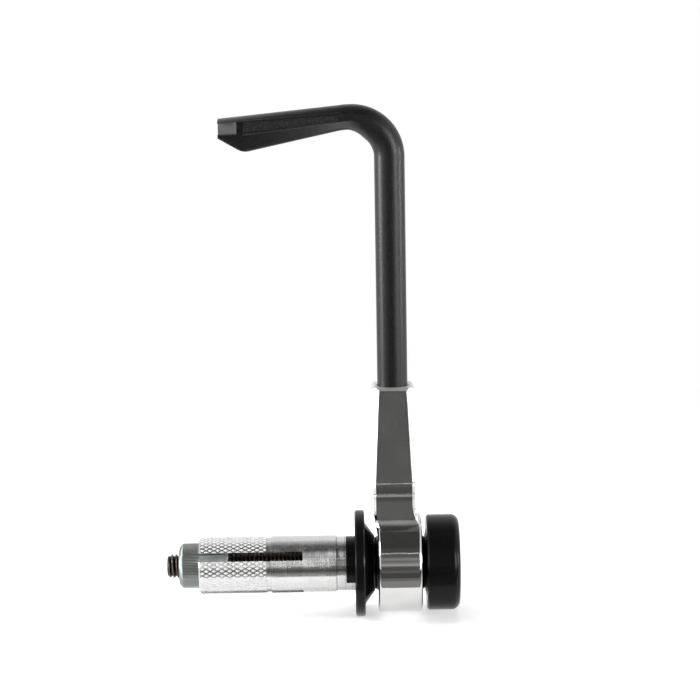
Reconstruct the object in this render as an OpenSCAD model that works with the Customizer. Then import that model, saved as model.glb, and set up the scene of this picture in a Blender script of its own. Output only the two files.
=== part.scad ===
// Lever guard that clamps into the open end of a motorcycle handlebar.
// A slotted plug grips inside the bar, and a ball-seated arm carries the guard rod.
// X runs along the bar and outwards, and Z runs up the arm.
// The origin is where the bar's axis meets the plane of its end face.

/* [Bar plug] */
// Diameter of the smooth part that fits inside the bar
plug_d = 13.9; // [13.3:0.1:16]
// Length of the plug from its open end to the flange
plug_l = 38; // [36:0.1:44]
// Length of the knurled gripping part
knurl_l = 16.4; // [12:0.1:18]
// How much smaller the knurled part is in diameter
knurl_drop = 0.2; // [0.1:0.05:0.6]
// Length of the plain relief band beside the knurl
relief_l = 1.2; // [0.6:0.1:2]
// How much smaller the relief band is in diameter
relief_drop = 0.6; // [0.3:0.05:1]
// Length of the narrower collar next to the flange
collar_l = 4.6; // [3.5:0.1:6]
// How much smaller the collar is in diameter
collar_drop = 0.6; // [0.2:0.05:1.2]
// Diameter of the plug's straight bore
plug_bore_d = 8.4; // [7.6:0.1:8.8]
// Width of each saw slot
slot_w = 2.3; // [1.6:0.1:2.8]
// Length of each saw slot
slot_l = 25.3; // [20:0.1:29]
// Angle of the first slot above the front, in degrees
slot_turn = 31; // [0:1:89]

/* [Half lap] */
// Length of the half lap that keys the flange to the plug
lap_l = 2.2; // [1.4:0.1:3]
// Angle of the lap's front edge above the front, in degrees
lap_turn = -31; // [-60:1:0]

/* [Cone nut] */
// Outer diameter of the nut
nut_d = 11; // [10.8:0.1:12]
// Length of the nut that stands out of the plug
nut_out = 4.9; // [4:0.1:8]
// Length of the nut's cone inside the plug
cone_l = 7.1; // [5:0.1:10]
// Diameter of the cone's small end
cone_tip_d = 9.2; // [8.6:0.1:10]
// Chamfer on the nut's free end
nut_chamfer = 0.9; // [0.3:0.1:1.2]

/* [Clamp bolt] */
// Thread diameter of the bolt
bolt_d = 6; // [5:0.5:6]
// Length of thread that stands out of the nut
bolt_out = 3; // [1:0.1:6]
// Diameter of the bolt's head
head_d = 10; // [9:0.1:11]
// Height of the bolt's head
head_h = 4; // [3:0.1:4.5]
// Width across the flats of the key socket
socket_w = 4; // [3:0.5:5]
// Depth of the key socket
socket_h = 2.3; // [1.5:0.1:2.6]

/* [Flange] */
// Diameter of the flange's rim
flange_d = 26; // [22:0.5:32]
// Thickness of the rim
flange_t = 2.4; // [1.8:0.1:3.5]
// Rounding of the rim's edges
flange_round = 0.35; // [0.1:0.05:0.8]
// Diameter of the cone where it meets the rim
flange_cone_d = 20.1; // [17:0.1:21]
// Distance from the flange's bar side to the end of its hub
flange_h = 4.8; // [4.4:0.1:6]
// Radius of the undercut round the plug, which lets the bar's end lie flat
undercut_r = 7.5; // [7.3:0.1:8.5]
// Depth of the undercut
undercut_h = 0.4; // [0.2:0.05:0.6]

/* [Ball seat] */
// Radius of the ball faces that the arm tilts on
ball_r = 8.7; // [8.4:0.1:9.2]
// Outer diameter of both hubs that hold the ball faces
hub_d = 13.5; // [13.2:0.1:15]
// Largest tilt of the arm to either side, in degrees
tilt_max = 5.75; // [3:0.25:7]

/* [Arm] */
// Outer diameter of the eye
eye_d = 24.2; // [22:0.1:27]
// Width of the eye along the bar
eye_w = 10.7; // [9.5:0.1:11.5]
// Rounding of the eye's edges
eye_round = 0.9; // [0.4:0.1:1.4]
// Height of the block's top above the bar's axis
block_top = 44.3; // [40:0.1:60]
// Width of the block along the bar
block_w = 10.1; // [9.4:0.1:11.5]
// Depth of the block from front to back
block_depth = 10.6; // [9.6:0.1:11.6]
// How much deeper the neck below the block is, on each side
neck_step = 0.2; // [0.1:0.05:0.5]
// How far the block and rod sit towards the bar from the eye's middle
block_shift = 1.2; // [0:0.1:1.5]
// Width of the corner bevels at the block's top
bevel_top = 1.75; // [1.2:0.05:1.9]
// Width of the corner bevels at the block's foot and down the neck
bevel_foot = 0.65; // [0.4:0.05:1]
// Height at which the block's front meets the band above the neck
band_z = 21; // [19:0.1:24]
// Height of that band
band_h = 2.7; // [1:0.1:4]
// Radius of the fillet between the neck and the eye
neck_fillet = 2; // [1:0.1:3]
// Radius of the curve by which the neck's outer side runs out to the eye
flare_r = 10; // [6:0.5:20]
// Chamfer round the block's top face
top_chamfer = 0.6; // [0.2:0.05:0.9]

/* [Guard rod] */
// Diameter of the round rod
rod_d = 7.3; // [6:0.1:7.6]
// Depth of the rod's socket in the block
socket_depth = 15; // [10:0.5:20]
// Height of the rod's highest point above the bar's axis
guard_top = 112.1; // [90:0.1:150]
// Radius of the bend, at the middle of the rod
bend_r = 8.9; // [7:0.1:14]
// Slope of the hook's top below level, in degrees
hook_slope = 5.5; // [0:0.5:12]
// Reach of the hook's tip from the middle of the rod
hook_reach = 40.6; // [34:0.1:55]
// Length over which the round rod turns into the hook's section
blend_l = 2.6; // [2:0.1:6]
// Height of the crown above the flat sides, next to the bend
crown_bend = 2.1; // [1.5:0.1:3]
// Height of the crown above the flat sides, at the tip
crown_tip = 0.95; // [0.6:0.05:1.5]
// Distance from the hook's top down to the lower edge of its flat sides
side_low = 3.8; // [3.4:0.1:4.2]
// Height of the hook next to the bend
keel_bend = 5.9; // [5.6:0.1:6.8]
// Height of the hook at its tip, before the corner is cut off
tip_h = 9.4; // [7:0.1:10]
// Height of the end face that the cut leaves
tip_face = 4.5; // [4.2:0.1:6]
// Slope of the cut below level, in degrees
tip_slope = 32; // [20:1:45]
// Width of the hook from front to back
hook_w = 7; // [6:0.1:7.2]
// Radius where the cut runs into the hook's lower edge
tip_round = 4; // [2:0.1:6]
// Depth of the rough band sunk into the hook's sides
band_depth = 0.25; // [0.1:0.05:0.5]

/* [End cap] */
// Diameter of the end cap
cap_d = 23.3; // [21:0.1:28]
// Length of the end cap along the bar
cap_l = 8; // [7.8:0.1:12]
// Rounding of the cap's outer edge
cap_round = 2; // [0.5:0.1:3]
// Diameter of the cap's hub cone at the cap's face
cap_cone_d = 17.2; // [15:0.1:19]

/* [Hidden] */
$fn = 64;
eps = 0.01;
overlap = 0.3;
far = 60;

// Clearances
run_gap = 0.05;
bolt_gap = 0.25;
swing_gap = 0.1;
slot_gap = 0.1;
head_gap = 0.2;
rod_gap = 0.2;

// Places along the bar
bolt_r = bolt_d / 2 - run_gap;
hub_r = hub_d / 2;
eye_gap = hub_r * tan(tilt_max) + eye_w / 2 * (1 / cos(tilt_max) - 1) + swing_gap / 2;
eye_x = flange_h + eye_gap + eye_w / 2;
swing_reach = (eye_w / 2 - eye_round) * cos(tilt_max) + (eye_d / 2 - eye_round) * sin(tilt_max) + eye_round;
cap_x = eye_x + swing_reach + swing_gap;
cap_hub_x = eye_x + eye_w / 2 + eye_gap;
head_x = cap_x + cap_l - head_h - head_gap * 2;
eye_bore_r = bolt_r + ball_r * sin(tilt_max) + head_gap;
nut_r = nut_d / 2;
cone_tip_r = cone_tip_d / 2;
cone_fall = nut_r - cone_tip_r;
nut_x = -plug_l - nut_out;
cone_end_x = -plug_l + cone_l;

// Places up the arm
block_x = eye_x - block_shift;
neck_half = block_depth / 2 + neck_step;
neck_z = band_z - band_h;
fillet_join = 0.01;
fillet_y = neck_half + neck_fillet - fillet_join;
fillet_z = sqrt(pow(eye_d / 2 + neck_fillet - fillet_join, 2) - pow(fillet_y, 2));
fillet_foot = fillet_z * eye_d / (eye_d + neck_fillet * 2);
foot_in = 0.05;
flare_w = eye_w / 2 - foot_in - (block_w / 2 - block_shift);
flare_foot = eye_d / 2 - eye_round - 0.5;
flare_top = flare_foot + sqrt(pow(flare_r, 2) - pow(flare_r - flare_w, 2));
slope_w = block_w / 2 + block_shift - eye_w / 2 + foot_in;
slope_l = 6;
slope_foot = hub_r + 1;
slope_top = slope_foot + slope_l;
rod_r = rod_d / 2;
bend_x = block_x - bend_r;
bend_z = guard_top - bend_r - rod_r;
bend_turn = 90 + hook_slope;
tip_x = block_x - hook_reach;
line_x = bend_x - (bend_r + rod_r) * sin(hook_slope);
line_z = bend_z + (bend_r + rod_r) * cos(hook_slope);
hook_half = hook_w / 2;
bend_thin = 0.02;
keel_r = 1.2;

// Share of the way from the bend to the tip
function hook_share(x) = (line_x - x) / (line_x - tip_x);

// Heights of the hook's top and of its lower edge at a place along the bar
function hook_top(x) = line_z - (line_x - x) * tan(hook_slope);
function hook_keel(x) = hook_top(x) - keel_bend - (tip_h - keel_bend) * hook_share(x);

// How far the neck's front stands out from the block's, down the step and the fillet
function front_run(z) =
    z > band_z ? 0
    : z > neck_z ? neck_step * (band_z - z) / band_h
    : z > fillet_z ? neck_step
    : z > fillet_foot ? fillet_y - sqrt(pow(neck_fillet, 2) - pow(fillet_z - z, 2)) - block_depth / 2
    : z * fillet_y / fillet_z - block_depth / 2;

// How far the neck's outer and inner sides run outwards from the block's
function outer_run(z) =
    z > flare_top ? 0
    : min(flare_w, flare_r - sqrt(pow(flare_r, 2) - pow(flare_top - z, 2)));
function inner_run(z) = -slope_w * max(0, slope_top - z) / slope_l;

// Points of an arc, for outlines
function arc(cx, cy, r, from, to, steps) =
    [for (i = [0:steps]) let (a = from + (to - from) * i / steps) [cx + r * cos(a), cy + r * sin(a)]];

// Turns a shape so that its Z axis lies along the bar
module along_bar(x) {
    translate([x, 0, 0])
    rotate([0, 90, 0])
    children();
}

// A round bar along X from one place to another
module round_bar(x0, x1, r) {
    along_bar(x0)
    cylinder(h = x1 - x0, r = r);
}

// A cone along X from one place to another
module round_cone(x0, x1, r0, r1) {
    along_bar(x0)
    cylinder(h = x1 - x0, r1 = r0, r2 = r1);
}

// Places a shape at an angle above the front, looking along the bar
module turned(angle) {
    rotate([-angle, 0, 0])
    children();
}

// The half of space above the lap's edge, moved away from the middle by a gap
module lap_half(gap) {
    turned(lap_turn)
    translate([-far / 2, -far / 2, gap])
    cube([far, far, far / 2]);
}

// The two saw cuts, which leave four slots
module slot_cuts(width, x0, x1) {
    for (quarter = [0, 90])
        turned(slot_turn + quarter)
        translate([x0, -far / 2, -width / 2])
        cube([x1 - x0, far, width]);
}

module expansion_sleeve() {
    plug_r = plug_d / 2;
    knurl_r = plug_r - knurl_drop / 2;
    relief_r = plug_r - relief_drop / 2;
    collar_r = plug_r - collar_drop / 2;
    knurl_end = -plug_l + knurl_l;
    end_chamfer = 0.4;
    tongue_gap = 0.1;
    color([0.86, 0.87, 0.88])
    difference() {
        union() {
            round_cone(-plug_l, -plug_l + end_chamfer, knurl_r - end_chamfer, knurl_r);
            round_bar(-plug_l + end_chamfer, knurl_end, knurl_r);
            round_bar(knurl_end - eps, knurl_end + relief_l + eps, relief_r);
            round_bar(knurl_end + relief_l, -collar_l, plug_r);
            round_bar(-collar_l - eps, undercut_h - tongue_gap, collar_r);
        }
        round_bar(-plug_l - 1, 1, plug_bore_d / 2);
        round_cone(-plug_l - eps, cone_end_x, nut_r + run_gap, cone_tip_r + run_gap);
        slot_cuts(slot_w, -plug_l - 1, -plug_l + slot_l);
        intersection() {
            round_bar(-lap_l, 1, plug_d);
            lap_half(-run_gap);
        }
    }
}

module bar_flange() {
    rim_r = flange_d / 2;
    collar_r = (plug_d - collar_drop) / 2;
    color([0.05, 0.05, 0.055])
    difference() {
        union() {
            along_bar(0)
            rotate_extrude()
            difference() {
                square([rim_r, flange_t]);
                square([undercut_r, undercut_h]);
                for (y = [0, flange_t])
                    translate([rim_r, y])
                    rotate(45)
                    square(flange_round * sqrt(2), center = true);
            }
            round_cone(flange_t - eps, flange_h, flange_cone_d / 2, hub_r);
            intersection() {
                round_bar(-lap_l, undercut_h + overlap, collar_r);
                lap_half(0);
            }
        }
        round_bar(-lap_l - 1, flange_h, bolt_r + bolt_gap);
        round_bar(-lap_l - 1, undercut_h, plug_bore_d / 2);
        translate([eye_x, 0, 0])
        sphere(r = ball_r + run_gap);
    }
}

module cone_nut() {
    color([0.42, 0.45, 0.45])
    difference() {
        union() {
            round_cone(nut_x, nut_x + nut_chamfer, nut_r - nut_chamfer, nut_r);
            round_bar(nut_x + nut_chamfer, cone_end_x, nut_r);
        }
        difference() {
            round_bar(-plug_l, cone_end_x + 1, nut_r + 1);
            round_cone(-plug_l - cone_l, cone_end_x + cone_l, nut_r + cone_fall, cone_tip_r - cone_fall);
            slot_cuts(slot_w - slot_gap * 2, -plug_l - 1, cone_end_x + 2);
        }
        round_bar(nut_x - 1, cone_end_x + 1, bolt_d / 2);
    }
}

module clamp_bolt() {
    tip_x = nut_x - bolt_out;
    tip_chamfer = 0.7;
    color([0.2, 0.19, 0.19])
    difference() {
        union() {
            round_cone(tip_x, tip_x + tip_chamfer, bolt_r - tip_chamfer, bolt_r);
            round_bar(tip_x + tip_chamfer, head_x + eps, bolt_r);
            round_bar(head_x, head_x + head_h, head_d / 2);
        }
        along_bar(head_x + head_h - socket_h)
        cylinder(h = socket_h + 1, r = socket_w / sqrt(3), $fn = 6);
    }
}

module end_cap() {
    rim_r = cap_d / 2;
    edge = 0.4;
    color([0.05, 0.05, 0.055])
    difference() {
        union() {
            along_bar(cap_x)
            rotate_extrude()
            union() {
                difference() {
                    square([rim_r, cap_l]);
                    translate([rim_r - cap_round, cap_l - cap_round])
                    square(cap_round + 1);
                    translate([rim_r, 0])
                    rotate(45)
                    square(edge * sqrt(2), center = true);
                }
                intersection() {
                    translate([rim_r - cap_round, cap_l - cap_round])
                    circle(r = cap_round);
                    square([rim_r, cap_l]);
                }
            }
            round_cone(cap_hub_x, cap_x + eps, hub_r, cap_cone_d / 2);
        }
        translate([eye_x, 0, 0])
        sphere(r = ball_r + run_gap);
        round_bar(cap_hub_x - 1, cap_x + cap_l + 1, bolt_r + bolt_gap);
        round_bar(head_x, cap_x + cap_l + 1, head_d / 2 + head_gap);
    }
}

// Side view of the neck and block, front to back across the page
module arm_side() {
    block_half = block_depth / 2;
    difference() {
        polygon([
            [0, 0], [-fillet_y, fillet_z], [-neck_half, fillet_z], [-neck_half, neck_z],
            [-block_half, band_z], [-block_half, block_top],
            [block_half, block_top], [block_half, band_z],
            [neck_half, neck_z], [neck_half, fillet_z], [fillet_y, fillet_z]
        ]);
        for (side = [-1, 1])
            translate([side * fillet_y, fillet_z])
            circle(r = neck_fillet);
    }
}

// Front view of the neck and block, which runs out to the eye's full width
module arm_front() {
    left = block_x - block_w / 2;
    right = block_x + block_w / 2;
    eye_left = left + slope_w;
    eye_right = right + flare_w;
    difference() {
        polygon([
            [left, block_top], [left, slope_top], [eye_left, slope_foot], [eye_left, 0],
            [eye_right, 0], [eye_right, flare_foot], [right, flare_top], [right, block_top]
        ]);
        translate([right + flare_r, flare_top])
        circle(r = flare_r);
    }
}

// The waste at one corner of the block and neck, wide at the top and even below.
// It follows the neck's fillet, flare and slope down into the eye.
module corner_bevel(side, front) {
    steps = 18;
    above = block_top + 1;
    widest = bevel_foot + (bevel_top - bevel_foot) * (above - band_z) / (block_top - band_z);
    heights = [band_z, for (i = [0:steps]) neck_z + (slope_foot - neck_z) * i / steps];
    edge = [for (z = heights) [front_run(z) + (side > 0 ? outer_run(z) : inner_run(z)) - bevel_foot, z]];
    outline = concat([[-widest, above]], edge, [[block_depth, slope_foot], [block_depth, above]]);
    translate([block_x + side * block_w / 2, front * block_depth / 2, 0])
    rotate([0, 0, atan2(front, side)])
    rotate([90, 0, 0])
    linear_extrude(height = block_depth, center = true)
    polygon([for (p = outline) [p[0] / sqrt(2), p[1]]]);
}

module tilt_arm() {
    eye_r = eye_d / 2;
    left = block_x - block_w / 2;
    mouth = 0.25;
    color([0.8, 0.81, 0.82])
    difference() {
        union() {
            along_bar(eye_x - eye_w / 2)
            rotate_extrude()
            union() {
                translate([0, eye_round])
                square([eye_r, eye_w - eye_round * 2]);
                square([eye_r - eye_round, eye_w]);
                for (y = [eye_round, eye_w - eye_round])
                    translate([eye_r - eye_round, y])
                    circle(r = eye_round);
                intersection() {
                    translate([0, eye_w / 2])
                    circle(r = ball_r);
                    translate([0, eye_w / 2 - ball_r])
                    square([ball_r, ball_r * 2]);
                }
            }
            difference() {
                intersection() {
                    translate([left - 1, 0, 0])
                    rotate([90, 0, 90])
                    linear_extrude(height = eye_w + block_w)
                    arm_side();
                    translate([0, far / 2, 0])
                    rotate([90, 0, 0])
                    linear_extrude(height = far)
                    arm_front();
                }
                for (side = [-1, 1])
                    for (front = [-1, 1])
                        corner_bevel(side, front);
            }
        }
        for (side = [-1, 1]) {
            translate([block_x + side * block_w / 2, 0, block_top])
            rotate([0, 45, 0])
            cube([top_chamfer * sqrt(2), far, top_chamfer * sqrt(2)], center = true);
            translate([block_x, side * block_depth / 2, block_top])
            rotate([45, 0, 0])
            cube([far, top_chamfer * sqrt(2), top_chamfer * sqrt(2)], center = true);
        }
        round_bar(eye_x - ball_r - 1, eye_x + ball_r + 1, eye_bore_r);
        translate([block_x, 0, block_top - socket_depth])
        cylinder(h = socket_depth + 1, r = rod_r + run_gap);
        translate([block_x, 0, block_top - mouth])
        cylinder(h = mouth + eps, r1 = rod_r + run_gap, r2 = rod_r + run_gap + mouth);
    }
}

// One ring of the hook: rounded crown, flat sides and a keel below.
// The blend runs from 0, as round as the rod, to 1, the full hook section.
function hook_ring(x, blend) =
    let (crown_steps = 16, keel_steps = 8, keel_turn = 55)
    let (top = hook_top(x), keel = hook_keel(x))
    let (rise = crown_bend + (crown_tip - crown_bend) * hook_share(x))
    let (crown_r = (pow(hook_half, 2) + pow(rise, 2)) / (2 * rise))
    let (crown_half = asin(min(1, hook_half / crown_r)))
    let (middle = top - rod_r)
    let (outline = concat(
        arc(0, top - crown_r, crown_r, 90 - crown_half, 90 + crown_half, crown_steps),
        [[-hook_half, top - side_low]],
        arc(0, keel + keel_r, keel_r, 270 - keel_turn, 270 + keel_turn, keel_steps),
        [[hook_half, top - side_low]]
    ))
    [for (p = outline)
        let (ray = [p[0], p[1] - middle])
        let (round_p = [0, middle] + ray / norm(ray) * (rod_r - run_gap))
        let (q = round_p + (p - round_p) * blend)
        [x, q[0], q[1]]
    ];

// The hook's solid before its side bands, end facets and tip are cut
module hook_blank() {
    steps = 6;
    bays = 4;
    root_x = bend_x + bend_r * cos(bend_turn) + overlap;
    rings = concat(
        [hook_ring(root_x, 0)],
        [for (i = [0:steps]) let (t = i / steps) hook_ring(root_x - overlap - blend_l * t, t * t * (3 - 2 * t))],
        [for (i = [1:bays]) hook_ring(root_x - overlap - blend_l + (tip_x - root_x + overlap + blend_l) * i / bays, 1)]
    );
    count = len(rings[0]);
    last = len(rings) - 1;
    polyhedron(
        points = [for (ring = rings) for (p = ring) p],
        faces = concat(
            [[for (k = [count - 1:-1:0]) k]],
            [for (i = [0:last - 1]) for (k = [0:count - 1])
                [i * count + k, i * count + (k + 1) % count, (i + 1) * count + (k + 1) % count]],
            [for (i = [0:last - 1]) for (k = [0:count - 1])
                [i * count + k, (i + 1) * count + (k + 1) % count, (i + 1) * count + k]],
            [[for (k = [0:count - 1]) last * count + k]]
        )
    );
}

// Cuts on the front and back of the hook
module hook_cuts() {
    end_l = 6;
    blend_cut = 1;
    band_end = tip_x + end_l;
    band_start = line_x - blend_l + blend_cut;
    rim_bend = 0.1;
    rim_tip = 0.3;
    notch_l = 1.4;
    notch_depth = 0.7;
    facet_l = 4.5;
    side_lip = 0.15;
    facet_in = 2.3;
    notch_h = 2.7;
    low = hook_top(tip_x) - side_low + side_lip;
    for (side = [-1, 1]) {
        translate([0, side * (hook_half - band_depth + far / 2) + far / 2, 0])
        rotate([90, 0, 0])
        linear_extrude(height = far)
        polygon([
            [band_start, hook_top(band_start) - crown_bend - rim_bend],
            [band_end, hook_top(band_end) - crown_tip - rim_tip],
            [band_end, hook_top(band_end) - side_low],
            [band_start, hook_top(band_start) - side_low]
        ]);
        translate([band_end - notch_l, side * (hook_half - notch_depth + hook_w / 2) - hook_w / 2, low])
        cube([notch_l + eps, hook_w, notch_h]);
        translate([tip_x + facet_l, side * hook_half, low])
        rotate([0, 0, side * -atan(facet_in / facet_l)])
        translate([-far, side < 0 ? -far / 2 : 0, 0])
        cube([far, far / 2, far / 2]);
    }
}

// The waste below the tip's slanted cut, which runs into the lower edge by a wide curve
module tip_corner() {
    cross = 3;
    steps = 12;
    keel_rise = atan((hook_keel(line_x) - hook_keel(tip_x)) / (line_x - tip_x));
    curve_u = (tip_h - tip_face + tip_round / cos(tip_slope) - tip_round / cos(keel_rise))
        / (tan(keel_rise) + tan(tip_slope));
    curve_x = tip_x + curve_u;
    curve_z = hook_keel(curve_x) + tip_round / cos(keel_rise);
    curve = arc(curve_x, curve_z, tip_round, 270 - tip_slope, 270 + keel_rise - cross, steps);
    last = curve[steps];
    past = [last[0] + cos(keel_rise - cross), last[1] + sin(keel_rise - cross)];
    translate([0, far / 2, 0])
    rotate([90, 0, 0])
    linear_extrude(height = far)
    polygon(concat(
        [[tip_x - 1, hook_top(tip_x) - tip_face + tan(tip_slope)]],
        curve,
        [past, [past[0], curve_z - far], [tip_x - 1, curve_z - far]]
    ));
}

module guard_rod() {
    rod_foot = block_top - socket_depth + rod_gap;
    color([0.07, 0.07, 0.075]) {
        translate([block_x, 0, rod_foot])
        cylinder(h = bend_z - rod_foot, r = rod_r);
        translate([bend_x, 0, bend_z])
        rotate([90, 0, 0])
        rotate_extrude(angle = bend_turn)
        translate([bend_r, 0])
        circle(r = rod_r - bend_thin);
        difference() {
            hook_blank();
            hook_cuts();
            tip_corner();
        }
    }
}

expansion_sleeve();
bar_flange();
cone_nut();
clamp_bolt();
end_cap();
tilt_arm();
guard_rod();
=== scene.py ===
"""Looks of the handlebar-end lever guard: its thread, knurl and serrations, and each finish's material."""

import math

import bpy
from mathutils import Matrix, Vector

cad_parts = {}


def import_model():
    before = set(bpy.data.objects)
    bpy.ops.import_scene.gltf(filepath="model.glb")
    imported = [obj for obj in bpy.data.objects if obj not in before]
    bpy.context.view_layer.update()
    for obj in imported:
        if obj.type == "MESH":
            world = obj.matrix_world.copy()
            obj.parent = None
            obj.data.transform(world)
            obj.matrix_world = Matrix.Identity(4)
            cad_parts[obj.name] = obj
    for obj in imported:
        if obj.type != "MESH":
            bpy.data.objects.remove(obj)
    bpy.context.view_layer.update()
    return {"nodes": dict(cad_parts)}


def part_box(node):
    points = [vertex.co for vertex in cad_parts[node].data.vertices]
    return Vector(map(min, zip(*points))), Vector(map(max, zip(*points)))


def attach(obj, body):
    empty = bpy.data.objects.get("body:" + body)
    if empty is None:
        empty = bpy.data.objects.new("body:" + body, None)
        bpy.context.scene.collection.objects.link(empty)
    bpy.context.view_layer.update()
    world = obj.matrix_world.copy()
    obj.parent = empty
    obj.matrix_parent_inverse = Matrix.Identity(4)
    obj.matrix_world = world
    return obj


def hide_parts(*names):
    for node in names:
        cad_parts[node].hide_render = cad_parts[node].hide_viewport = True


MM = 0.001
FRAME_PX = 700
FLOOR_GLOW = 0.55

# What the polished faces reflect, in bands of (start in metres, level of light):
# up the room's wall, and from front to back along the table and the ceiling
ROOM_BANDS = (
    (-0.013, 0.11),
    (0.055, 0.24),
    (0.085, 0.46),
    (0.145, 0.26),
    (0.21, 0.165),
    (0.245, 0.31),
    (0.345, 0.14),
    (0.575, 0.09),
)
ROOM_TOP = 0.80
ROOM_Y = -0.75
TABLE_BANDS = ((-0.74, 0.1), (-0.24, 0.13), (-0.14, 0.16), (-0.09, 0.083), (-0.0415, 0.2), (-0.033, 0.32))
TABLE_END = -0.0205
TABLE_Z = -0.0126
CEILING_BANDS = ((-0.8, 0.06), (0.0, 0.14), (0.16, 0.33), (0.3, 0.55))
CEILING_END = 0.5
FLOOR_Z = -0.0131

# Camera, as read from the photograph
FOCAL_PX = 2305
CAMERA_AT = (-0.0004, -0.5488, 0.1438)
CAMERA_PITCH = math.radians(9.4)
CAMERA_ROLL = math.radians(0.95)

# Sizes repeated from part.scad, in millimetres
SLOT_TURN = 31
SLOT_W = 2.3
PLUG_END = -38.0
KNURL_END = -21.6
KNURL_R = 6.85
NUT_R = 5.5
CONE_TIP_R = 4.6
NUT_CHAMFER = 0.9
BOLT_R = 2.95
THREAD_END = -9.0
HEAD_H = 4.0
HEAD_R = 5.0
SOCKET_W = 4.0
SOCKET_DEPTH = 2.3
BAND_Z = 21.0
NECK_Z = 18.3
BLOCK_TOP = 44.3
EYE_X = 10.9067
EYE_R = 12.1
EYE_W = 10.7
EYE_ROUND = 0.9
COLLAR_L = 4.6
BLOCK_X = 9.7067
ROD_R = 3.65
ROD_FOOT = 29.5
GUARD_TOP = 112.1
BEND_R = 8.9
BEND_IN = 0.03
HOOK_REACH = 40.6
HOOK_SLOPE = math.radians(5.5)
HOOK_HALF = 3.5
BLEND_L = 2.6
CROWN_BEND = 2.1
CROWN_TIP = 0.95
SIDE_LOW = 3.8
KEEL_BEND = 5.9
KEEL_R = 1.2
KEEL_TURN = math.radians(55)
TIP_H = 9.4
TIP_FACE = 4.5
TIP_SLOPE = math.radians(32)
TIP_ROUND = 4.0
BAND_DEPTH = 0.25
NOTCH_L = 1.4
NOTCH_H = 2.7
NOTCH_DEPTH = 0.7
FACET_L = 4.5
FACET_IN = 2.3

# Half the distance between the two rings or rows of points that make a sharp step
EDGE = 0.01

# Places that follow from them
BEND_X = BLOCK_X - BEND_R
BEND_Z = GUARD_TOP - BEND_R - ROD_R
LINE_X = BEND_X - (BEND_R + ROD_R) * math.sin(HOOK_SLOPE)
LINE_Z = BEND_Z + (BEND_R + ROD_R) * math.cos(HOOK_SLOPE)
TIP_X = BLOCK_X - HOOK_REACH
BAND_START = LINE_X - BLEND_L + 1
BAND_END = TIP_X + 6
FACET_LOW = LINE_Z - (LINE_X - TIP_X) * math.tan(HOOK_SLOPE) - SIDE_LOW + 0.15


def camera():
    """The camera at the photograph's place, pitched down and rolled a little."""
    data = bpy.data.cameras.new("camera")
    data.sensor_width = 36
    data.lens = data.sensor_width * FOCAL_PX / FRAME_PX
    data.clip_start = 0.01
    made = bpy.data.objects.new("camera", data)
    bpy.context.scene.collection.objects.link(made)
    look = Vector((0, math.cos(CAMERA_PITCH), -math.sin(CAMERA_PITCH)))
    level_right = Vector((1, 0, 0))
    level_up = level_right.cross(look)
    right = level_right * math.cos(CAMERA_ROLL) - level_up * math.sin(CAMERA_ROLL)
    up = right.cross(look)
    made.matrix_world = Matrix.Translation(CAMERA_AT) @ Matrix(
        [[right[i], up[i], -look[i]] for i in range(3)]
    ).to_4x4()
    bpy.context.scene.camera = made


# Meshes


def mesh_object(name, points, faces, material, body):
    """A smooth-shaded mesh from points in millimetres, which rides on a body."""
    mesh = bpy.data.meshes.new(name)
    mesh.from_pydata([tuple(c * MM for c in p) for p in points], [], faces)
    mesh.update()
    mesh.shade_smooth()
    mesh.set_sharp_from_angle(angle=math.radians(38))
    mesh.materials.append(material)
    made = bpy.data.objects.new(name, mesh)
    bpy.context.scene.collection.objects.link(made)
    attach(made, body)
    return made


def around(x, radius, angle):
    """A point at an angle above the front, round the bar's axis."""
    return (x, -radius * math.cos(angle), radius * math.sin(angle))


def ring_faces(count, rings, wraps):
    """Quads between neighbouring rings of points; wraps joins the last ring to the first."""
    faces = []
    for k in range(rings if wraps else rings - 1):
        a, b = k * count, (k + 1) % rings * count
        for i in range(count):
            j = (i + 1) % count
            faces.append((a + i, b + i, b + j, a + j))
    return faces


def lathe(rings, count):
    """Points of rings given as (x, radius at an angle)."""
    points = []
    for x, radius in rings:
        for i in range(count):
            angle = 2 * math.pi * i / count
            points.append(around(x, radius(angle), angle))
    return points


def constant(radius):
    """The same radius at every angle."""
    return lambda angle: radius


def between(a, b, share):
    return a + (b - a) * share


def triangle_wave(t):
    """Runs from 0 at whole numbers to 1 half way between them."""
    return 1 - abs(2 * (t - math.floor(t)) - 1)


def span(node):
    """Where a CAD node starts and ends along the bar, in millimetres."""
    low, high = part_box(node)
    return low.x / MM, high.x / MM


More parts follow.
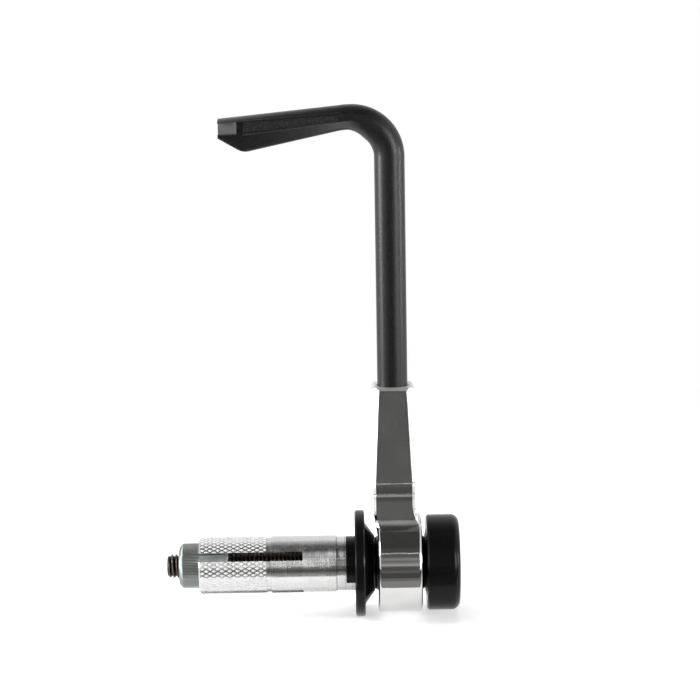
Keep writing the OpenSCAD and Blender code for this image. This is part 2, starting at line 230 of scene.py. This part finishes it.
def threaded_bolt(material):
    """The clamp bolt with its M6 thread as a helix, and its head with the hexagon socket."""
    tip, head_end = span("clamp_bolt")
    head_x = head_end - HEAD_H
    count = 72
    pitch = 1.0
    depth = 0.56
    step = pitch / 12
    chamfer = 0.7

    def thread(x):
        run_out = min(1, max(0, (THREAD_END - x) / pitch))

        def radius(angle):
            wave = triangle_wave(x / pitch + angle / (2 * math.pi))
            flat = min(1, max(0, (wave - 0.12) / 0.7))
            crest = BOLT_R - depth * run_out * (1 - flat)
            return min(crest, BOLT_R - chamfer + (x - tip))

        return radius

    def hexagon(angle):
        side = math.pi / 3
        off = (angle + side / 2) % side - side / 2
        return SOCKET_W / 2 / math.cos(off)

    edge = 0.35
    rings = [(tip, constant(0.01))]
    steps = round((THREAD_END - tip) / step)
    rings += [(tip + step * i, thread(tip + step * i)) for i in range(steps + 1)]
    rings += [
        (THREAD_END + step, constant(BOLT_R)),
        (head_x, constant(BOLT_R)),
        (head_x, constant(HEAD_R - edge / 2)),
        (head_x + edge / 2, constant(HEAD_R)),
        (head_end - edge, constant(HEAD_R)),
        (head_end, constant(HEAD_R - edge)),
        (head_end, constant(SOCKET_W / 2 + 0.55)),
        (head_end - 0.2, hexagon),
        (head_end - SOCKET_DEPTH, hexagon),
        (head_end - SOCKET_DEPTH - 0.5, constant(0.01)),
    ]
    points = lathe(rings, count)
    faces = ring_faces(count, len(rings), False)
    bolt = mesh_object("threaded_bolt", points, faces, material, "bolt")
    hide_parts("clamp_bolt")


def serrated_nut(material):
    """The cone nut, with fine serrations on its outside and keys that run in the saw slots."""
    start, end = span("cone_nut")
    teeth = 88
    count = teeth * 6
    depth = 0.16
    half_key = SLOT_W / 2 - 0.1

    def outer(x):
        inside = x > PLUG_END

        def radius(angle):
            wave = triangle_wave(angle * teeth / (2 * math.pi))
            full = NUT_R - depth * (1 - min(1, wave * 1.5))
            full = min(full, NUT_R - NUT_CHAMFER + (x - start))
            quarter = math.pi / 2
            off = (angle - math.radians(SLOT_TURN) + quarter / 2) % quarter - quarter / 2
            if not inside:
                return full
            if abs(NUT_R * math.sin(off)) > half_key:
                share = (x - PLUG_END) / (end - PLUG_END)
                return between(NUT_R, CONE_TIP_R, share) - 0.05
            return min(NUT_R, NUT_R - 0.3 + (end - x)) - 0.03

        return radius

    bore = constant(BOLT_R + 0.05)
    xs = [start, start + NUT_CHAMFER * 0.5, start + NUT_CHAMFER, start + NUT_CHAMFER + 0.1]
    xs += [PLUG_END - 0.02, PLUG_END + 0.02, end - 0.3, end]
    rings = [(x, outer(x)) for x in xs] + [(end, bore), (start + 0.6, bore), (start, constant(BOLT_R + 0.5))]
    points = lathe(rings, count)
    faces = ring_faces(count, len(rings), True)
    nut = mesh_object("serrated_nut", points, faces, material, "nut")
    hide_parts("cone_nut")


def knurled_skin(material):
    """Diamond knurl on the plug's gripping end, in four shells between the saw slots."""
    pitch = 0.95
    height = 0.2
    step = 0.105
    foot_r = KNURL_R - 0.1
    valley_r = KNURL_R - 0.08
    slant = math.radians(30)
    start, end = PLUG_END + 0.4, KNURL_END

    def relief(x, run):
        u = (run * math.cos(slant) + x * math.sin(slant)) / pitch
        v = (run * math.cos(slant) - x * math.sin(slant)) / pitch
        return height * min(1, 1.25 * min(triangle_wave(u), triangle_wave(v)))

    points, faces = [], []
    along = round((end - start) / step)
    for quarter in range(4):
        half_gap = math.asin(SLOT_W / 2 / KNURL_R)
        a0 = math.radians(SLOT_TURN + 90 * quarter) + half_gap
        a1 = math.radians(SLOT_TURN + 90 * quarter + 90) - half_gap
        across = round((a1 - a0) * KNURL_R / step)
        base = len(points)
        width = across + 3
        for i in range(along + 3):
            x = start + (end - start) * min(along, max(0, i - 1)) / along
            for j in range(width):
                angle = a0 + (a1 - a0) * min(across, max(0, j - 1)) / across
                rim = i in (0, along + 2) or j in (0, width - 1)
                radius = foot_r if rim else valley_r + relief(x, angle * KNURL_R)
                points.append(around(x, radius, angle))
        for i in range(along + 2):
            for j in range(width - 1):
                k = base + i * width + j
                faces.append((k, k + width, k + width + 1, k + 1))
    mesh_object("knurled_skin", points, faces, material, "plug")


def eye_skin(material):
    """A true lathe surface over the eye, clear of the neck, so that its reflections run straight."""
    lift = 0.01
    neck_clear = math.radians(33)
    steps = 220
    turns = [math.radians(15 * i) for i in range(7)]
    left = EYE_X - EYE_W / 2 + EYE_ROUND
    right = EYE_X + EYE_W / 2 - EYE_ROUND
    foot = EYE_R - EYE_ROUND
    reach = EYE_ROUND + lift
    profile = [(left - reach * math.cos(t), foot + reach * math.sin(t)) for t in turns]
    profile += [(right + reach * math.cos(t), foot + reach * math.sin(t)) for t in reversed(turns)]
    top = math.pi / 2
    points = []
    for i in range(steps + 1):
        angle = between(top + neck_clear, top + 2 * math.pi - neck_clear, i / steps)
        points += [around(x, radius, angle) for x, radius in profile]
    count = len(profile)
    faces = [
        (k, k + 1, k + count + 1, k + count)
        for i in range(steps)
        for k in range(i * count, i * count + count - 1)
    ]
    mesh_object("eye_skin", points, faces, material, "arm")


def hook_top(x):
    """Height of the hook's top line."""
    return LINE_Z - (LINE_X - x) * math.tan(HOOK_SLOPE)


def hook_share(x):
    """0 where the hook leaves the bend, 1 at its tip."""
    return (LINE_X - x) / (LINE_X - TIP_X)


def hook_keel(x):
    """Height of the hook's underside."""
    return hook_top(x) - between(KEEL_BEND, TIP_H, hook_share(x))


def tip_cut(x):
    """Height below which the tip's slanted cut has taken the metal away, with the curve at its lower end."""
    rise = math.atan((hook_keel(LINE_X) - hook_keel(TIP_X)) / (LINE_X - TIP_X))
    over = TIP_H - TIP_FACE + TIP_ROUND / math.cos(TIP_SLOPE) - TIP_ROUND / math.cos(rise)
    curve_x = TIP_X + over / (math.tan(rise) + math.tan(TIP_SLOPE))
    curve_z = hook_keel(curve_x) + TIP_ROUND / math.cos(rise)
    off = x - curve_x
    if off < -TIP_ROUND * math.sin(TIP_SLOPE):
        return hook_top(TIP_X) - TIP_FACE - (x - TIP_X) * math.tan(TIP_SLOPE)
    if off < TIP_ROUND * math.sin(rise):
        return curve_z - math.sqrt(TIP_ROUND**2 - off**2)
    return -math.inf


def side_half(x, z, corner, rim):
    """Half width of the hook's flat side at a place: sunk band, notch and end facet."""
    low = max(FACET_LOW, hook_top(x) - SIDE_LOW + EDGE)
    if z < low:
        return HOOK_HALF
    if x < TIP_X + FACET_L:
        return HOOK_HALF - FACET_IN * (TIP_X + FACET_L - x) / FACET_L
    if BAND_END - NOTCH_L < x < BAND_END and z < low + NOTCH_H:
        return HOOK_HALF - NOTCH_DEPTH
    if BAND_END < x < BAND_START and z < corner - rim:
        return HOOK_HALF - BAND_DEPTH
    return HOOK_HALF


def hook_outline(x):
    """Half of the hook's section at a place: (half width, height), from the top down to the keel."""
    share = hook_share(x)
    top = hook_top(x)
    rise = between(CROWN_BEND, CROWN_TIP, share)
    crown_r = (HOOK_HALF**2 + rise**2) / (2 * rise)
    crown_turn = math.asin(min(1, HOOK_HALF / crown_r))
    crown_steps, side_steps, keel_steps = 14, 8, 6
    outline = []
    for i in range(crown_steps + 1):
        turn = crown_turn * i / crown_steps
        outline.append((crown_r * math.sin(turn), top - crown_r + crown_r * math.cos(turn)))
    corner = top - rise
    low = max(FACET_LOW, top - SIDE_LOW + EDGE)
    rim = between(0.1, 0.3, share)
    levels = [corner - EDGE, corner - rim + EDGE, corner - rim - EDGE]
    levels += [between(corner - rim - EDGE, low + EDGE, i / side_steps) for i in range(1, side_steps + 1)]
    levels += [low - EDGE]
    outline += [(side_half(x, z, corner, rim), z) for z in levels]
    keel_middle = hook_keel(x) + KEEL_R
    foot = (KEEL_R * math.sin(KEEL_TURN), keel_middle - KEEL_R * math.cos(KEEL_TURN))
    side = (HOOK_HALF, min(top - SIDE_LOW, low - 2 * EDGE))
    for i in range(side_steps):
        outline.append((between(side[0], foot[0], i / side_steps), between(side[1], foot[1], i / side_steps)))
    for i in range(keel_steps + 1):
        turn = KEEL_TURN * (1 - i / keel_steps)
        outline.append((KEEL_R * math.sin(turn), keel_middle - KEEL_R * math.cos(turn)))
    return [(half, max(z, tip_cut(x))) for half, z in outline]


def eased(t):
    """0 up to t = 0, 1 from t = 1 on, and smooth between."""
    t = min(1, max(0, t))
    return t * t * (3 - 2 * t)


def rounded(y, up):
    """The point of the round rod in the same direction from its middle."""
    size = math.hypot(y, up)
    return y / size * ROD_R, up / size * ROD_R


def whole_ring(outline):
    """A closed ring of (y, height) from the half outline, front first."""
    return [(-half, z) for half, z in outline] + [(half, z) for half, z in outline[-2:0:-1]]


def hooked_rod(material):
    """The guard rod as one smooth loft: round rod, bend, and hook with sunk sides, notches and facets."""
    root_x = BEND_X - BEND_R * math.sin(HOOK_SLOPE)
    middle = hook_top(root_x) - ROD_R
    full = [(y, z - middle) for y, z in whole_ring(hook_outline(root_x))]
    circle = [rounded(y, out) for y, out in full]
    points = [(BLOCK_X + out, y, ROD_FOOT) for y, out in circle]

    bend_steps = 36
    bend_end = math.pi / 2 + HOOK_SLOPE
    blend_start = math.radians(48)
    blend_len = BEND_R * (bend_end - blend_start) + BLEND_L
    for i in range(bend_steps + 1):
        turn = bend_end * i / bend_steps
        share = eased(BEND_R * (turn - blend_start) / blend_len)
        inwards = BEND_IN * math.sin(turn)
        for (y0, out0), (y1, out1) in zip(circle, full):
            reach = BEND_R - inwards + between(out0, out1, share)
            y = between(y0, y1, share)
            points.append((BEND_X + reach * math.cos(turn), y, BEND_Z + reach * math.sin(turn)))

    blend_steps, hook_steps = 16, 120
    end_of_blend = root_x - BLEND_L
    places = [between(root_x, end_of_blend, i / blend_steps) for i in range(1, blend_steps + 1)]
    places += [between(end_of_blend, TIP_X, i / hook_steps) for i in range(1, hook_steps + 1)]
    for step_x in (BAND_START, BAND_END, BAND_END - NOTCH_L, TIP_X + FACET_L):
        places += [step_x + EDGE, step_x - EDGE]
    for x in sorted(places, reverse=True):
        share = eased(1 - (x - end_of_blend) / blend_len)
        lean = math.sin(HOOK_SLOPE) * (1 - eased((root_x - x) / BLEND_L))
        middle = hook_top(x) - ROD_R
        for y1, z in whole_ring(hook_outline(x)):
            y0, up0 = rounded(y1, z - middle)
            up = between(up0, z - middle, share)
            points.append((x - lean * up, between(y0, y1, share), middle + up))
    count = len(circle)
    rings = len(points) // count
    faces = ring_faces(count, rings, False)
    faces.append(tuple(range(count - 1, -1, -1)))
    faces.append(tuple(range((rings - 1) * count, rings * count)))
    rod = mesh_object("hooked_rod", points, faces, material, "arm")
    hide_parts("guard_rod")


# Materials


class Nodes:
    """A short way to write a material's node tree."""

    def __init__(self, name):
        self.material = bpy.data.materials.new(name)
        self.material.use_nodes = True
        self.tree = self.material.node_tree
        self.shader = self.tree.nodes["Principled BSDF"]

    def add(self, kind, **values):
        node = self.tree.nodes.new(kind)
        for key, value in values.items():
            setattr(node, key, value)
        return node

    def feed(self, socket, value):
        if isinstance(value, bpy.types.NodeSocket):
            self.tree.links.new(value, socket)
        else:
            socket.default_value = value

    def math(self, operation, a, b=0.0):
        node = self.add("ShaderNodeMath", operation=operation)
        self.feed(node.inputs[0], a)
        self.feed(node.inputs[1], b)
        return node.outputs[0]

    def total(self, first, *others):
        for other in others:
            first = self.math("ADD", first, other)
        return first

    def product(self, first, *others):
        for other in others:
            first = self.math("MULTIPLY", first, other)
        return first

    def place(self):
        """Object coordinates in millimetres: (vector, x, y, z)."""
        coords = self.add("ShaderNodeTexCoord").outputs["Object"]
        scaled = self.add("ShaderNodeVectorMath", operation="SCALE")
        self.feed(scaled.inputs[0], coords)
        scaled.inputs["Scale"].default_value = 1 / MM
        split = self.add("ShaderNodeSeparateXYZ")
        self.feed(split.inputs[0], scaled.outputs[0])
        return (scaled.outputs[0], *split.outputs)

    def vector(self, x, y, z):
        node = self.add("ShaderNodeCombineXYZ")
        for socket, value in zip(node.inputs, (x, y, z)):
            self.feed(socket, value)
        return node.outputs[0]

    def noise(self, vector, scale, detail=3.0, roughness=0.55):
        node = self.add("ShaderNodeTexNoise")
        self.feed(node.inputs["Vector"], vector)
        node.inputs["Scale"].default_value = scale
        node.inputs["Detail"].default_value = detail
        node.inputs["Roughness"].default_value = roughness
        return node.outputs["Fac"]

    def ramp(self, value, low, high, out_low, out_high):
        """Maps low..high to out_low..out_high, held at the ends."""
        node = self.add("ShaderNodeMapRange")
        for socket, given in zip(node.inputs, (value, low, high, out_low, out_high)):
            self.feed(socket, given)
        return node.outputs[0]

    def mix(self, share, a, b):
        node = self.add("ShaderNodeMix", data_type="RGBA")
        self.feed(node.inputs[0], share)
        self.feed(node.inputs[6], a)
        self.feed(node.inputs[7], b)
        return node.outputs[2]

    def bump(self, height, distance_mm, strength=1.0):
        node = self.add("ShaderNodeBump")
        node.inputs["Strength"].default_value = strength
        node.inputs["Distance"].default_value = distance_mm * MM
        self.feed(node.inputs["Height"], height)
        return node.outputs[0]

    def finish(self, surface):
        """Shows another shader in place of the Principled one."""
        self.tree.links.new(surface, self.tree.nodes["Material Output"].inputs[0])
        self.tree.nodes.remove(self.shader)

    def set(self, **sockets):
        for name, value in sockets.items():
            self.feed(self.shader.inputs[name.replace("_", " ")], value)
        return self.material


def radius_of(nodes, y, z):
    """Distance from an axis, from the two coordinates across it."""
    return nodes.math("SQRT", nodes.total(nodes.product(y, y), nodes.product(z, z)))


def ring_grain(n, x, y, z, scale):
    """Noise in fine rings round the bar's axis, as a lathe leaves."""
    radius = radius_of(n, y, z)
    return n.noise(n.vector(n.product(x, scale), n.product(radius, scale), 0.0), 1.0)


def milled_aluminium():
    """The arm: lathe rings on the eye, fine level milling lines on the block, bright lines at its step."""
    n = Nodes("milled_aluminium")
    place, x, y, z = n.place()
    rings = ring_grain(n, x, y, z, 9)
    lines = n.noise(n.vector(n.product(x, 0.5), n.product(y, 0.5), n.product(z, 9)), 1.0)
    smudge = n.noise(place, 0.16, 2.0)
    colour = n.mix(n.ramp(smudge, 0.3, 0.7, 0.0, 1.0), (0.60, 0.60, 0.60, 1), (0.65, 0.645, 0.64, 1))

    on_block = n.ramp(z, 19.5, 20.5, 0.0, 1.0)
    on_eye = n.ramp(z, 11.0, 12.5, 1.0, 0.0)
    milled = n.product(on_block, n.ramp(lines, 0.3, 0.7, 0.10, 0.16))
    sawn = n.ramp(z, BLOCK_TOP - 0.65, BLOCK_TOP - 0.55, 0.0, 0.35)
    over_eye = n.product(n.ramp(z, 10.1, 10.8, 0.0, 0.3), n.ramp(z, 11.8, 12.5, 1.0, 0.0))
    fillet = n.product(over_eye, n.ramp(n.product(y, y), 24.0, 27.0, 0.0, 1.0))
    rough = n.total(milled, n.ramp(smudge, 0.35, 0.7, 0.06, 0.09), sawn, fillet)

    fall = n.ramp(z, NECK_Z - 1.8, NECK_Z, 0.0, 1.0)
    on_neck = n.ramp(z, NECK_Z - 0.02, NECK_Z, 1.0, 0.0)
    shoulder = n.product(fall, fall, on_neck, -0.2)
    ridges = n.total(ridge(n, z, BAND_Z, 0.22), ridge(n, z, NECK_Z + 0.1, 0.16))
    grain = n.total(n.product(lines, on_block, 2.5), n.product(rings, on_eye, 0.3))
    height = n.total(n.product(grain, 0.006), shoulder, n.product(ridges, 0.12))
    return n.set(Base_Color=colour, Metallic=1.0, Roughness=rough, Normal=n.bump(height, 1.0))


def ridge(n, value, middle, half_width):
    """A narrow rise round one place: 1 at its middle, 0 from half_width on."""
    off = n.math("ABSOLUTE", n.math("SUBTRACT", value, middle))
    return n.ramp(off, 0.0, half_width, 1.0, 0.0)


def turned_aluminium():
    """The plug's bright turned metal, which scatters light along the bar, with painted shade in dark lines at
    its steps and painted light inside the lower slots.
    """
    n = Nodes("turned_aluminium")
    place, x, y, z = n.place()
    rings = ring_grain(n, x, y, z, 7)
    smudge = n.noise(place, 0.35, 3.0)
    spots = n.noise(place, 1.4, 3.0, 0.65)
    plain = n.mix(n.ramp(smudge, 0.3, 0.7, 0.0, 1.0), (0.62, 0.62, 0.625, 1), (0.69, 0.685, 0.68, 1))
    # Painted shade: dark lines drawn at the two steps, joined with random dark stains
    steps = n.math("MAXIMUM", ridge(n, x, -COLLAR_L + 0.1, 0.2), ridge(n, x, -COLLAR_L + 2.1, 0.12))
    stains_and_step_shade = n.math("MAXIMUM", n.product(steps, 0.75), n.ramp(spots, 0.58, 0.78, 0.0, 0.2))
    # Painted light: inside the lower slots the metal is drawn pale white and not metallic
    in_slot = n.ramp(radius_of(n, y, z), 6.2, 6.7, 1.0, 0.0)
    slot_painted_light = n.product(in_slot, n.ramp(z, -5.0, -3.0, 1.0, 0.0))
    colour = n.mix(slot_painted_light, n.mix(stains_and_step_shade, plain, (0.16, 0.15, 0.145, 1)), (0.9, 0.9, 0.92, 1))
    rough = n.total(n.ramp(rings, 0.3, 0.7, 0.2, 0.28), n.ramp(smudge, 0.45, 0.65, 0.0, 0.05))
    tangent = n.add("ShaderNodeTangent", direction_type="RADIAL", axis="X")
    n.shader.inputs["Anisotropic"].default_value = 1.0
    n.shader.inputs["Anisotropic Rotation"].default_value = 0.25
    return n.set(
        Base_Color=colour,
        Metallic=n.math("SUBTRACT", 1.0, slot_painted_light),
        Roughness=rough,
        Tangent=tangent.outputs[0],
        Normal=n.bump(rings, 0.003, 1.0),
    )


def knurled_aluminium():
    """The knurl's pressed diamonds: pale and softly bright all over, with painted shade making the valleys a
    little darker.
    """
    n = Nodes("knurled_aluminium")
    place, _, y, z = n.place()
    blotch = n.noise(place, 1.2, 3.0)
    # Painted shade: the valleys are drawn a darker grey
    valley_shade = n.ramp(radius_of(n, y, z), KNURL_R - 0.05, KNURL_R + 0.1, 0.14, 0.0)
    plain = n.mix(n.ramp(blotch, 0.3, 0.7, 0.0, 1.0), (0.86, 0.86, 0.855, 1), (0.93, 0.93, 0.93, 1))
    colour = n.mix(valley_shade, plain, (0.42, 0.42, 0.42, 1))
    rough = n.ramp(blotch, 0.3, 0.7, 0.4, 0.52)
    return n.set(Base_Color=colour, Metallic=0.12, Roughness=rough, Normal=n.bump(blotch, 0.01, 0.5))


def anodised_black(name, rough):
    """Gloss black anodising over turned metal: faint rings and a very fine grain."""
    n = Nodes(name)
    place, x, y, z = n.place()
    rings = ring_grain(n, x, y, z, 6)
    dust = n.noise(place, 5.0, 2.0)
    colour = n.mix(n.ramp(dust, 0.4, 0.75, 0.0, 1.0), (0.004, 0.004, 0.0045, 1), (0.008, 0.008, 0.009, 1))
    rough_field = n.ramp(rings, 0.3, 0.7, rough - 0.03, rough + 0.05)
    return n.set(
        Base_Color=colour,
        Roughness=rough_field,
        Specular_IOR_Level=0.14,
        Normal=n.bump(rings, 0.006, 0.4),
    )


def nut_steel(start):
    """Grey-green plating, a little blotchy, with painted highlights that make the serrations' crests and the
    keys paler, and a painted reflection on the chamfer.
    """
    n = Nodes("nut_steel")
    place, x, y, z = n.place()
    blotch = n.noise(place, 0.9, 3.0)
    # Painted highlight: the outermost radius, the serrations' crests, is drawn paler
    wear_and_crest_highlight = n.ramp(radius_of(n, y, z), NUT_R - 0.16, NUT_R, 0.0, 0.8)
    plain = n.mix(n.ramp(blotch, 0.3, 0.7, 0.0, 1.0), (0.13, 0.15, 0.145, 1), (0.22, 0.245, 0.235, 1))
    body = n.mix(wear_and_crest_highlight, plain, (0.5, 0.52, 0.5, 1))
    # Painted reflection on the chamfer and painted light on the keys, both drawn in a pale grey-blue
    chamfer_reflection = n.ramp(x, start + 0.75, start + 0.85, 0.1, 0.0)
    key_painted_light = n.ramp(x, PLUG_END, PLUG_END + 0.05, 0.0, 0.85)
    colour = n.mix(n.total(chamfer_reflection, key_painted_light), body, (0.62, 0.67, 0.68, 1))
    rough = n.ramp(blotch, 0.3, 0.7, 0.32, 0.44)
    return n.set(Base_Color=colour, Metallic=0.85, Roughness=rough, Normal=n.bump(blotch, 0.01, 0.4))


def bolt_steel():
    """Dark oiled steel with a coppery tone and painted highlights on the thread's crests."""
    n = Nodes("bolt_steel")
    place, _, y, z = n.place()
    # Painted highlight: the thread's crests are drawn in a lighter coppery colour
    crest = n.ramp(radius_of(n, y, z), BOLT_R - 0.3, BOLT_R, 0.0, 1.0)
    blotch = n.noise(place, 1.6, 3.0)
    share = n.product(crest, n.ramp(blotch, 0.3, 0.65, 0.4, 1.0))
    colour = n.mix(share, (0.035, 0.032, 0.03, 1), (0.27, 0.215, 0.18, 1))
    rough = n.ramp(blotch, 0.3, 0.7, 0.28, 0.42)
    return n.set(Base_Color=colour, Metallic=0.9, Roughness=rough, Normal=n.bump(blotch, 0.01, 0.5))


def satin_coating():
    """The rod's satin black: fine grain, coarser on the hook's sunk sides, and smooth on its end facets,
    which a painted reflection makes lighter.
    """
    n = Nodes("satin_coating")
    place, x, y, z = n.place()
    grain = n.noise(place, 2.6, 2.0, 0.6)
    coarse = n.noise(place, 1.5, 3.0, 0.7)
    side = n.math("ABSOLUTE", y)

    on_hook = n.product(n.ramp(x, -2.6, -1.6, 1.0, 0.0), n.ramp(z, 98.0, 99.0, 0.0, 1.0))
    before_end = n.ramp(x, BAND_END - 0.1, BAND_END + 0.1, 0.0, 1.0)
    sunk = n.product(n.ramp(side, 3.15, 3.2, 0.0, 1.0), n.ramp(side, 3.3, 3.35, 1.0, 0.0))
    band = n.product(on_hook, before_end, sunk)

    facet_y = n.ramp(x, TIP_X, TIP_X + FACET_L, HOOK_HALF - FACET_IN, HOOK_HALF)
    on_surface = n.ramp(n.math("SUBTRACT", side, facet_y), -0.08, -0.03, 0.0, 1.0)
    below_top = n.math("SUBTRACT", z, n.ramp(x, TIP_X, LINE_X, hook_top(TIP_X), hook_top(LINE_X)))
    above_keel = n.ramp(z, FACET_LOW - 0.02, FACET_LOW, 0.0, 1.0)
    under_crown = n.ramp(below_top, -1.0, -0.95, 1.0, 0.0)
    near_tip = n.ramp(x, TIP_X + FACET_L, TIP_X + FACET_L + 0.05, 1.0, 0.0)
    facet_with_painted_reflection = n.product(on_surface, above_keel, under_crown, near_tip)

    speck = n.ramp(grain, 0.45, 0.75, 0.0, 1.0)
    plain = n.mix(speck, (0.007, 0.007, 0.0075, 1), (0.016, 0.016, 0.017, 1))
    wear_and_crest_highlight = n.ramp(coarse, 0.45, 0.75, 0.0, 1.0)
    rough_side = n.mix(wear_and_crest_highlight, (0.014, 0.014, 0.015, 1), (0.05, 0.05, 0.052, 1))
    # Painted reflection: the end facets are drawn a lighter grey
    colour = n.mix(facet_with_painted_reflection, n.mix(band, plain, rough_side), (0.06, 0.06, 0.061, 1))
    fine = n.product(grain, n.math("SUBTRACT", 1.0, n.math("MAXIMUM", band, facet_with_painted_reflection)))
    height = n.total(fine, n.product(coarse, band, 3.0))
    return n.set(
        Base_Color=colour,
        Roughness=n.ramp(grain, 0.3, 0.7, 0.28, 0.42),
        Specular_IOR_Level=0.35,
        Normal=n.bump(height, 0.05, 0.7),
    )


def dress(frame, node, material):
    """Gives a carried-over CAD node its material."""
    mesh = frame["nodes"][node].data
    mesh.materials.clear()
    mesh.materials.append(material)


# Stage


def shown_as_white(tree, plain, white):
    """The second shader for camera, glossy and transmission rays, and the first for the light itself."""
    path = tree.nodes.new("ShaderNodeLightPath")
    total = path.outputs["Is Camera Ray"]
    for other in ("Is Glossy Ray", "Is Transmission Ray"):
        add = tree.nodes.new("ShaderNodeMath")
        add.operation = "MAXIMUM"
        tree.links.new(total, add.inputs[0])
        tree.links.new(path.outputs[other], add.inputs[1])
        total = add.outputs[0]
    mix = tree.nodes.new("ShaderNodeMixShader")
    tree.links.new(total, mix.inputs[0])
    tree.links.new(plain, mix.inputs[1])
    tree.links.new(white, mix.inputs[2])
    return mix.outputs[0]


def world():
    """White to look at, while its own light on the object stays low and the lamps do the lighting."""
    made = bpy.data.worlds.new("studio")
    made.use_nodes = True
    tree = made.node_tree
    tree.nodes.clear()
    lighting = tree.nodes.new("ShaderNodeBackground")
    lighting.inputs["Color"].default_value = (1, 1, 1, 1)
    lighting.inputs["Strength"].default_value = 0.12
    white = tree.nodes.new("ShaderNodeBackground")
    white.inputs["Color"].default_value = (1, 1, 1, 1)
    out = tree.nodes.new("ShaderNodeOutputWorld")
    tree.links.new(shown_as_white(tree, lighting.outputs[0], white.outputs[0]), out.inputs[0])
    bpy.context.scene.world = made


def panel(name, corners, material):
    """A flat panel of the stage, from its corners in metres."""
    mesh = bpy.data.meshes.new(name)
    mesh.from_pydata(corners, [], [tuple(range(len(corners)))])
    mesh.materials.append(material)
    made = bpy.data.objects.new(name, mesh)
    bpy.context.scene.collection.objects.link(made)
    return made


def floor():
    """A pale floor under the flange's rim: lit and shadowed near the object, plain white further out."""
    n = Nodes("floor")
    _, x, y, _ = n.place()
    far = n.ramp(radius_of(n, x, y), 100.0, 300.0, 0.0, 1.0)
    diffuse = n.add("ShaderNodeBsdfDiffuse")
    diffuse.inputs["Color"].default_value = (0.9, 0.9, 0.9, 1)
    glow = n.add("ShaderNodeEmission")
    glow.inputs["Strength"].default_value = FLOOR_GLOW
    lit = n.add("ShaderNodeAddShader")
    n.tree.links.new(diffuse.outputs[0], lit.inputs[0])
    n.tree.links.new(glow.outputs[0], lit.inputs[1])
    white = n.add("ShaderNodeEmission")
    seen = n.add("ShaderNodeMixShader")
    n.feed(seen.inputs[0], far)
    n.tree.links.new(lit.outputs[0], seen.inputs[1])
    n.tree.links.new(white.outputs[0], seen.inputs[2])
    n.finish(shown_as_white(n.tree, diffuse.outputs[0], seen.outputs[0]))
    half = 4.0
    corners = [(-half, -half), (half, -half), (half, half), (-half, half)]
    panel("floor", [(x, y, FLOOR_Z) for x, y in corners], n.material)


def dark_card(name, corners, material):
    """A card that only reflections see, as a photographer's black flag is kept out of the picture."""
    card = panel(name, corners, material)
    card.visible_camera = False
    card.visible_diffuse = False
    card.visible_shadow = False


def level_card(name, x, y0, y1, z, material):
    dark_card(name, [(-x, y0, z), (x, y0, z), (x, y1, z), (-x, y1, z)], material)


def upright_card(name, x, y, z0, z1, material):
    dark_card(name, [(-x, y, z0), (x, y, z0), (x, y, z1), (-x, y, z1)], material)


def banded_emission(name, along, bands, end):
    """Emission in bands of its own level along one axis, from each band's start to the next."""
    n = Nodes(name)
    place = n.place()[1:]
    start = bands[0][0]
    share = n.ramp(place["xyz".index(along)], start / MM, end / MM, 0.0, 1.0)
    ramp = n.add("ShaderNodeValToRGB")
    n.feed(ramp.inputs[0], share)
    stops = ramp.color_ramp
    stops.interpolation = "CONSTANT"
    for i, (at, level) in enumerate(bands):
        stop = stops.elements[0] if i == 0 else stops.elements.new((at - start) / (end - start))
        stop.color = (level, level * 0.99, level * 0.97, 1)
    stops.elements.remove(stops.elements[-1])
    emission = n.add("ShaderNodeEmission")
    n.feed(emission.inputs["Color"], ramp.outputs[0])
    n.finish(emission.outputs[0])
    return n.material


def cards():
    """What the polished faces see: a dark table in front, a grey wall, and a ceiling that brightens."""
    table = banded_emission("card_table", "y", TABLE_BANDS, TABLE_END)
    room = banded_emission("card_room", "z", ROOM_BANDS, ROOM_TOP)
    ceiling = banded_emission("card_ceiling", "y", CEILING_BANDS, CEILING_END)
    front = TABLE_BANDS[0][0]
    corners = [(-0.20, front), (0.12, front), (0.12, TABLE_END), (-0.20, TABLE_END)]
    dark_card("card_table", [(x, y, TABLE_Z) for x, y in corners], table)
    upright_card("card_room", 0.5, ROOM_Y, ROOM_BANDS[0][0], ROOM_TOP, room)
    level_card("card_ceiling", 0.6, CEILING_BANDS[0][0], CEILING_END, ROOM_TOP, ceiling)


def lamp(name, at, aim, width, height, power):
    """A flat lamp aimed at a place: metres and watts."""
    data = bpy.data.lights.new(name, "AREA")
    data.shape = "RECTANGLE"
    data.size = width
    data.size_y = height
    data.energy = power
    made = bpy.data.objects.new(name, data)
    bpy.context.scene.collection.objects.link(made)
    made.location = at
    made.rotation_euler = (Vector(aim) - Vector(at)).to_track_quat("-Z", "Y").to_euler()


def lamps():
    aim = (0, 0, 0.05)
    lamp("lamp_left", (-0.80, -0.12, 0.25), aim, 0.14, 0.6, 10.5)
    lamp("lamp_right", (0.60, -0.55, 0.14), aim, 0.28, 0.5, 4.0)
    lamp("lamp_edge", (0.80, -0.08, 0.07), (0, 0, 0), 0.10, 0.16, 1.5)
    lamp("lamp_strip", (0.0, -0.72, 0.50), aim, 0.9, 0.006, 0.05)
    lamp("lamp_top", (0.0, 0.25, 0.9), aim, 0.6, 0.5, 3.0)


def main():
    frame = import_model()
    camera()
    world()
    floor()
    cards()
    lamps()

    arm = milled_aluminium()
    bolt = bolt_steel()
    nut = nut_steel(span("cone_nut")[0])
    dress(frame, "expansion_sleeve", turned_aluminium())
    dress(frame, "bar_flange", anodised_black("flange_black", 0.16))
    dress(frame, "end_cap", anodised_black("cap_black", 0.2))
    dress(frame, "tilt_arm", arm)
    coating = satin_coating()
    dress(frame, "guard_rod", coating)
    dress(frame, "clamp_bolt", bolt)
    dress(frame, "cone_nut", nut)
    threaded_bolt(bolt)
    serrated_nut(nut)
    knurled_skin(knurled_aluminium())
    eye_skin(arm)
    hooked_rod(coating)

    scene = bpy.context.scene
    scene.view_settings.view_transform = "Standard"


main()
